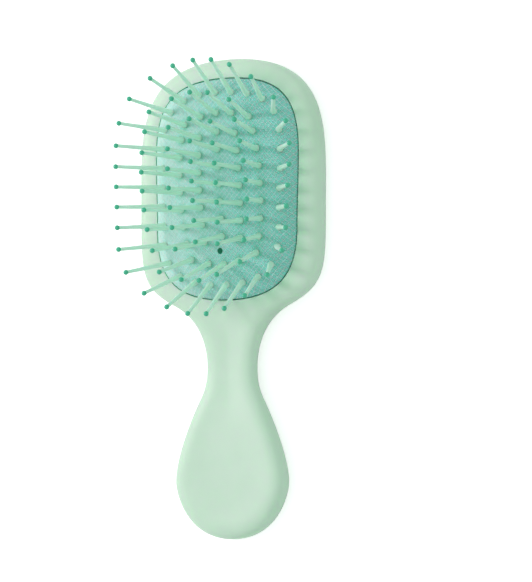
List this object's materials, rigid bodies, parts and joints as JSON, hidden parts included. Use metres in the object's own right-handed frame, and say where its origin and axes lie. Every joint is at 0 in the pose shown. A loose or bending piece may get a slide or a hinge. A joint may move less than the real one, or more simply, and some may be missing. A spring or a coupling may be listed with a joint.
{
  "type": "cushion hair brush",
  "caption": "Mini paddle hair brush with a domed rubber cushion of splayed ball-tipped pins and a paddle-shaped handle.",
  "frame": {"origin": "on the flat back face, under the middle of the pad", "axes": "+Z from the back face to the pin tips, +Y from the handle to the head's end, +X to the right seen from the pins"},
  "size_m": [0.0798, 0.1749, 0.0321],
  "materials": {
    "mint_plastic": "satin-gloss moulded",
    "teal_rubber": "matt rubber with a fine woven grid",
    "pin_nylon": "satin moulded, darker dipped ball ends"
  },
  "bodies": {
    "handle": {"handle_body": "mint_plastic"},
    "cushion": {"cushion_pad": "teal_rubber"},
    "top_arc_pins": {"pin_top_arc_1": "pin_nylon", "pin_top_arc_2": "pin_nylon", "pin_top_arc_3": "pin_nylon", "pin_top_arc_4": "pin_nylon", "pin_top_arc_5": "pin_nylon", "pin_top_arc_6": "pin_nylon"},
    "right_side_pins": {"pin_right_side_1": "pin_nylon", "pin_right_side_2": "pin_nylon", "pin_right_side_3": "pin_nylon", "pin_right_side_4": "pin_nylon", "pin_right_side_5": "pin_nylon", "pin_right_side_6": "pin_nylon", "pin_right_side_7": "pin_nylon", "pin_right_side_8": "pin_nylon", "pin_right_side_9": "pin_nylon"},
    "bottom_arc_pins": {"pin_bottom_arc_1": "pin_nylon", "pin_bottom_arc_2": "pin_nylon", "pin_bottom_arc_3": "pin_nylon", "pin_bottom_arc_4": "pin_nylon", "pin_bottom_arc_5": "pin_nylon", "pin_bottom_arc_6": "pin_nylon"},
    "left_side_pins": {"pin_left_side_1": "pin_nylon", "pin_left_side_2": "pin_nylon", "pin_left_side_3": "pin_nylon", "pin_left_side_4": "pin_nylon", "pin_left_side_5": "pin_nylon", "pin_left_side_6": "pin_nylon", "pin_left_side_7": "pin_nylon", "pin_left_side_8": "pin_nylon", "pin_left_side_9": "pin_nylon"},
    "far_left_column_pins": {"pin_far_left_column_1": "pin_nylon", "pin_far_left_column_2": "pin_nylon", "pin_far_left_column_3": "pin_nylon", "pin_far_left_column_4": "pin_nylon", "pin_far_left_column_5": "pin_nylon", "pin_far_left_column_6": "pin_nylon", "pin_far_left_column_7": "pin_nylon", "pin_far_left_column_8": "pin_nylon", "pin_far_left_column_9": "pin_nylon"},
    "centre_column_pins": {"pin_centre_column_1": "pin_nylon", "pin_centre_column_2": "pin_nylon", "pin_centre_column_3": "pin_nylon", "pin_centre_column_4": "pin_nylon", "pin_centre_column_5": "pin_nylon", "pin_centre_column_6": "pin_nylon", "pin_centre_column_7": "pin_nylon", "pin_centre_column_8": "pin_nylon", "pin_centre_column_9": "pin_nylon"},
    "far_right_column_pins": {"pin_far_right_column_1": "pin_nylon", "pin_far_right_column_2": "pin_nylon", "pin_far_right_column_3": "pin_nylon", "pin_far_right_column_4": "pin_nylon", "pin_far_right_column_5": "pin_nylon", "pin_far_right_column_6": "pin_nylon", "pin_far_right_column_7": "pin_nylon", "pin_far_right_column_8": "pin_nylon", "pin_far_right_column_9": "pin_nylon"}
  },
  "joints": [
    {"name": "cushion_press", "type": "slide", "parent": "handle", "child": "cushion", "axis": [0, 0, -1], "range_m": [0, 0.004], "stiffness_N_per_m": 2500, "deforming": ["cushion_pad"]},
    {"name": "top_arc_rock", "type": "hinge", "parent": "cushion", "child": "top_arc_pins", "pos_m": [0.00088, 0.03373, 0.01274], "axis": [1, 0, 0], "range_deg": [-8, 8], "stiffness_Nm_per_rad": 0.08},
    {"name": "right_side_rock", "type": "hinge", "parent": "cushion", "child": "right_side_pins", "pos_m": [0.02478, -0.00063, 0.01279], "axis": [0, 1, 0], "range_deg": [-8, 8], "stiffness_Nm_per_rad": 0.08},
    {"name": "bottom_arc_rock", "type": "hinge", "parent": "cushion", "child": "bottom_arc_pins", "pos_m": [-0.00087, -0.03361, 0.01275], "axis": [1, 0, 0], "range_deg": [-8, 8], "stiffness_Nm_per_rad": 0.08},
    {"name": "left_side_rock", "type": "hinge", "parent": "cushion", "child": "left_side_pins", "pos_m": [-0.02478, 0.00112, 0.0128], "axis": [0, 1, 0], "range_deg": [-8, 8], "stiffness_Nm_per_rad": 0.08},
    {"name": "far_left_column_rock", "type": "hinge", "parent": "cushion", "child": "far_left_column_pins", "pos_m": [-0.01623, -0.00092, 0.01347], "axis": [-0.0663, 0.9978, 0], "range_deg": [-8, 8], "stiffness_Nm_per_rad": 0.08},
    {"name": "centre_column_rock", "type": "hinge", "parent": "cushion", "child": "centre_column_pins", "pos_m": [-0.00008, 0.00124, 0.0137], "axis": [-0.0663, 0.9978, 0], "range_deg": [-8, 8], "stiffness_Nm_per_rad": 0.08},
    {"name": "far_right_column_rock", "type": "hinge", "parent": "cushion", "child": "far_right_column_pins", "pos_m": [0.01621, 0.00123, 0.01347], "axis": [-0.0663, 0.9978, 0], "range_deg": [-8, 8], "stiffness_Nm_per_rad": 0.08}
  ]
}
